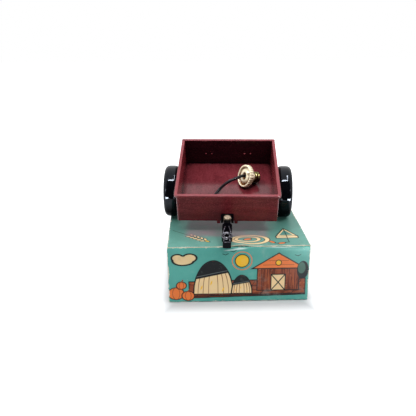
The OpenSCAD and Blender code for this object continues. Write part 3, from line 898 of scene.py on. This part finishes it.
kv, kf = lathe(knob_profile, 16 * FLUTES, knurl)
add("hand_wheel_skin", notch(kv), kf, "tool", IVORY, space=KNOB, stands_for=("hand_wheel",),
    slot="ivory_plastic", smooth=42)

# ---------------------------------------------------------------- cord
# its run in the tray frame, from inside the hand wheel to the ferrule
CORD_POINTS = [
    (18.54, 54.97, -17.6), (16.05, 53.8, -16.4), (13.9, 52.2, -15.4), (11.1, 49.4, -14.8),
    (8.6, 47.8, -14.8), (5.2, 46, -15.4), (1.7, 45.2, -16.8), (-1.2, 44.9, -18.8), (-3.9, 44.3, -21),
    (-6.5, 43.3, -23.3), (-8.8, 41.6, -25.2), (-11, 39, -26.5), (-13.2, 35, -26.8), (-15.4, 30, -26.8),
    (-17.5, 24, -26.8), (-19.5, 18, -26.8),
]


def smooth_line(points, n=5):
    """Catmull-Rom line through the points."""
    p = [Vector(q) for q in points]
    p = [p[0] * 2 - p[1]] + p + [p[-1] * 2 - p[-2]]
    out = []
    for i in range(1, len(p) - 2):
        for k in range(n):
            t = k / n
            a, b, c, d = p[i - 1: i + 3]
            bent = (2 * a - 5 * b + 4 * c - d) * t * t + (3 * b - a - 3 * c + d) * t ** 3
            out.append(0.5 * (2 * b + (c - a) * t + bent))
    return out + [p[-2]]


CORD_RADIUS = 0.0015
line = [to_row(q) for q in smooth_line(CORD_POINTS)]
curve = bpy.data.curves.new("tool_cord_curve", "CURVE")
curve.dimensions = "3D"
curve.bevel_depth = CORD_RADIUS
curve.bevel_resolution = 5
curve.use_fill_caps = True
spline = curve.splines.new("POLY")
spline.points.add(len(line) - 1)
for pt, q in zip(spline.points, line):
    pt.co = (*q, 1.0)
curve.materials.append(CORD)
cord_obj = bpy.data.objects.new("tool_cord_line", curve)
bpy.context.scene.collection.objects.link(cord_obj)
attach(cord_obj, "tool")
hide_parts("tool_cord")

# ---------------------------------------------------------------- raised edges of the drawbar
EYE_Y = -24.6


def round_turn(n):
    return [2 * math.pi * k / n for k in range(n)]


def ring(r, thick, z):
    """Round bead about the tow eye."""
    prof = [(r + thick * math.cos(a), z + thick * math.sin(a)) for a in round_turn(12)]
    v, f = lathe(prof + prof[:1], 40)
    return [(px, py + EYE_Y, pz) for px, py, pz in v], f


def ridge(a, b, thick):
    """Round ridge from a to b, tapered off at both ends."""
    a = Vector(a)
    b = Vector(b)
    up = Vector((0, 0, 1))
    side = (b - a).cross(up).normalized()
    rings = []
    for t in steps(0, 1, 8):
        r = thick * (0.35 if t in (0, 1) else 1.0)
        c = a.lerp(b, t)
        rings.append([c + side * (r * math.cos(q)) + up * (r * math.sin(q)) for q in round_turn(10)])
    return skin(rings)


trim = [ring(2.75, 0.55, -25.55), ring(4.45, 0.4, -25.65)]
for s in (-1, 1):
    trim.append(ridge((s * 3.7, -21.0, -25.9), (s * 1.5, -11.2, -25.9), 0.5))
    trim.append(ridge((s * 2.6, -28.6, -26.4), (s * 2.7, -31.4, -26.4), 0.45))
trim.append(ridge((-2.9, -33.2, -25.6), (2.9, -33.2, -25.6), 0.4))
add("drawbar_edges", *join(*trim), "trailer", BLACK_GLINTS, slot="black_metal", smooth=60)

# ---------------------------------------------------------------- CAD pieces shown as they are
LOOKS = (
    (LUG_SHADED, 0, ("hinge_pins",)),
    (MAROON_SHADED, 0.3, ("tailgate",)),
    (STUD_LIT, 0.1, ("tailgate_studs",)),
    (BLACK_PLASTIC, 0.4, ("axle_beam", "axle_hanger_left", "axle_hanger_right")),
    (STEEL, 0.2, ("axle_rod",)),
    (BLACK_METAL, 0.3, ("hitch_bracket", "rear_bracket")),
    (BLACK_METAL, 0.45, ("drawbar",)),
    (BOLT, 0, ("hitch_bolt",)),
    (BOLT, 0.2, ("drawbar_pin",)),
    (BRASS, 0.15, ("rear_nut", "wheel_nuts_left", "wheel_nuts_right")),
    (BRASS, 0, ("cord_ferrule",)),
    (CREAM, 0.2, ("wheel_rim_left", "wheel_rim_right")),
    (CREAM, 0, ("hub_cap_left", "hub_cap_right")),
    (TAIL, 0.1, ("hand_wheel_tail",)),
)
for mat, width, names in LOOKS:
    for name in names:
        dress(name, mat, width)

# painted shade: the gate's inner side, which lies in the dark, gets a near-black copy of the tray's
# plastic; its outer side is like the tray
gate = nodes["tailgate"].data
gate.materials.append(MAROON)
outward = TRAY.to_3x3() @ Vector((0, 1, 0))
for poly in gate.polygons:
    poly.material_index = 1 if poly.normal.dot(outward) > 0.2 else 0

# ---------------------------------------------------------------- stage and light
def stage_floor():
    """White sheet with painted light: to the eye it glows more the further it lies from the carton, so
    away from the object it is white whatever the lamps reach, the carton's shadows beside and behind it
    are lifted, and the shadow at its front foot stays.
    """
    s = Shader("stage_white")
    light = s.node("ShaderNodeLightPath")
    mirrored = s.math("MAXIMUM", light.outputs["Is Glossy Ray"], light.outputs["Is Transmission Ray"])
    seen = s.math("MAXIMUM", light.outputs["Is Camera Ray"], mirrored)
    xyz = s.node("ShaderNodeSeparateXYZ", {0: s.place}).outputs
    # metres beside and in front of the carton
    beside = s.math("MAXIMUM", s.math("SUBTRACT", s.math("ABSOLUTE", xyz[0]), 0.0625), -0.01)
    before = s.math("MAXIMUM", s.math("SUBTRACT", s.scaled(xyz[1], -1.0), 0.068), 0.0)
    behind = s.ramp(xyz[1], 0.05, 0.12)
    # painted light: the floor's glow lifts the carton's shadows beside and behind it, and fades to nothing
    # at its front foot
    glow = s.ramp(before, 0.0, 0.026, 0.0, 0.58)
    glow = s.math("MAXIMUM", glow, s.ramp(beside, -0.004, 0.012, 0.0, 0.66))
    glow = s.math("MAXIMUM", glow, s.scaled(behind, 0.5))
    glow = s.math("ADD", glow, s.ramp(beside, 0.01, 0.15, 0.0, 0.3))
    glow = s.math("ADD", glow, s.ramp(xyz[1], 0.09, 0.3, 0.0, 0.6))
    col = s.mix(s.noise(30, 3.0), (0.46, 0.47, 0.475), (0.48, 0.49, 0.495))
    s.set(Base_Color=col, Roughness=0.8, Specular_IOR_Level=0.0)
    return s.set(Emission_Color=(1, 1, 1), Emission_Strength=s.math("MULTIPLY", seen, glow))


fl_mesh = bpy.data.meshes.new("stage_floor")
fl_plan = ((-4, -0.22), (4, -0.22), (4, 4), (-4, 4))
fl_mesh.from_pydata([(x, y, -0.0002) for x, y in fl_plan], [], [(0, 1, 2, 3)])
fl = bpy.data.objects.new("stage_floor", fl_mesh)
bpy.context.scene.collection.objects.link(fl)
fl_mesh.materials.append(stage_floor())

# a light tent: white above, behind and at the sides, its front open to a dark room
world = bpy.data.worlds.new("world")
bpy.context.scene.world = world
world.use_nodes = True
wt = world.node_tree
wt.nodes.clear()


def wnode(kind, values=None, **props):
    n = wt.nodes.new(kind)
    for k, v in props.items():
        setattr(n, k, v)
    for k, v in (values or {}).items():
        if isinstance(v, bpy.types.NodeSocket):
            wt.links.new(v, n.inputs[k])
        else:
            n.inputs[k].default_value = v
    return n


def wmath(op, a, b=0.0):
    return wnode("ShaderNodeMath", {0: a, 1: b}, operation=op).outputs[0]


def wmix(fac, a, b):
    first, second = [(*c, 1) if isinstance(c, tuple) else c for c in (a, b)]
    return wnode("ShaderNodeMix", {0: fac, 6: first, 7: second}, data_type="RGBA").outputs[2]


WHITE = (1, 1, 1)
TENT_GREY = (0.72, 0.77, 0.84)
ROOM_DARK = (0.03, 0.03, 0.035)
xyz = wnode("ShaderNodeSeparateXYZ", {0: wnode("ShaderNodeTexCoord").outputs["Generated"]}).outputs
forward = wmath("MULTIPLY", xyz["Y"], -1.0)
ahead_of_side = wmath("SUBTRACT", forward, wmath("ABSOLUTE", xyz["X"]))
ahead_of_top = wmath("SUBTRACT", forward, wmath("MULTIPLY", xyz["Z"], 0.45))
opening = {0: wmath("MINIMUM", ahead_of_side, ahead_of_top), 1: -0.02, 2: 0.03}
front = wnode("ShaderNodeMapRange", opening, interpolation_type="SMOOTHSTEP").outputs[0]
dark = wmath("MAXIMUM", front, wmath("LESS_THAN", xyz["Z"], -0.02))
rays = wnode("ShaderNodeLightPath").outputs
eye = rays["Is Camera Ray"]
mirrored = wmath("MAXIMUM", eye, wmath("MAXIMUM", rays["Is Glossy Ray"], rays["Is Transmission Ray"]))
tent = wmix(mirrored, TENT_GREY, WHITE)
shade = wmix(eye, wmix(dark, tent, ROOM_DARK), WHITE)
sky = wnode("ShaderNodeBackground", {0: shade, 1: 1.0}).outputs[0]
wnode("ShaderNodeOutputWorld", {0: sky})


def lamp(data, where, aim):
    obj = bpy.data.objects.new(data.name, data)
    bpy.context.scene.collection.objects.link(obj)
    obj.location = where
    obj.rotation_euler = (Vector(aim) - Vector(where)).to_track_quat("-Z", "Y").to_euler()
    return obj


def softbox(name, where, aim, size, watts, colour=WHITE, gloss=True, spread=True):
    """Flat lamp; without gloss it isn't mirrored, and without spread it is seen only in mirrors."""
    data = bpy.data.lights.new(name, "AREA")
    data.shape = "RECTANGLE"
    data.size, data.size_y = size
    data.energy = watts
    data.color = colour
    obj = lamp(data, where, aim)
    obj.visible_glossy = gloss
    if not spread:
        obj.visible_diffuse = False
        obj.visible_camera = False


WARM = (1.0, 0.98, 0.95)
KEY_SIZE = (0.15, 0.15)
SIDE_SIZE = (0.05, 0.09)
GLINT_SIZE = (0.12, 0.024)
softbox("strip", (-0.05, -0.44, 1.02), (-0.01, 0, 0.08), (0.6, 0.1), 1.5, gloss=False)
softbox("overhead", (-0.05, -0.1, 1.0), (-0.03, -0.05, 0.06), (0.7, 0.45), 2.8, gloss=False)
softbox("key_left", (-0.34, -0.36, 0.66), (-0.03, 0, 0.08), KEY_SIZE, 1.1, WARM, gloss=False)
softbox("key_right", (0.36, -0.34, 0.66), (0.01, 0, 0.08), KEY_SIZE, 1.7, WARM, gloss=False)
# a narrow beam on the face of the hand wheel
spot = bpy.data.lights.new("wheel_spot", "SPOT")
spot.energy = 10.0
spot.spot_size = math.radians(5.4)
spot.spot_blend = 1.0
spot.shadow_soft_size = 0.012
lamp(spot, (-0.42, -0.02, 0.62), (0.01, 0.01, 0.1))
softbox("side_left", (-0.62, -0.55, 0.3), (-0.06, 0, 0.08), SIDE_SIZE, 0.3)
softbox("side_right", (0.6, -0.55, 0.3), (0.05, 0, 0.08), SIDE_SIZE, 0.35)
# seen only as reflections, as in a studio: a bright edge on rubber, enamel and rounded lips
softbox("glint_left", (-0.173, -0.168, 0.028), (-0.0667, -0.0075, 0.082), GLINT_SIZE, 0.55, spread=False)
softbox("glint_right", (0.129, -0.155, 0.0215), (0.0518, -0.0159, 0.081), GLINT_SIZE, 0.55, spread=False)
softbox("glint_front", (-0.05, -0.415, 1.02), (-0.05, -0.415, 0), (0.58, 0.1), 9.5, spread=False)
softbox("glint_edge", (0.236, -0.2, 1.02), (0.236, -0.2, 0), (0.05, 0.42), 3.4, spread=False)
softbox("fill", (0.05, -1.0, 0.35), (0, 0, 0.05), (0.8, 0.4), 1.2, gloss=False)

bpy.context.scene.view_settings.view_transform = "Standard"
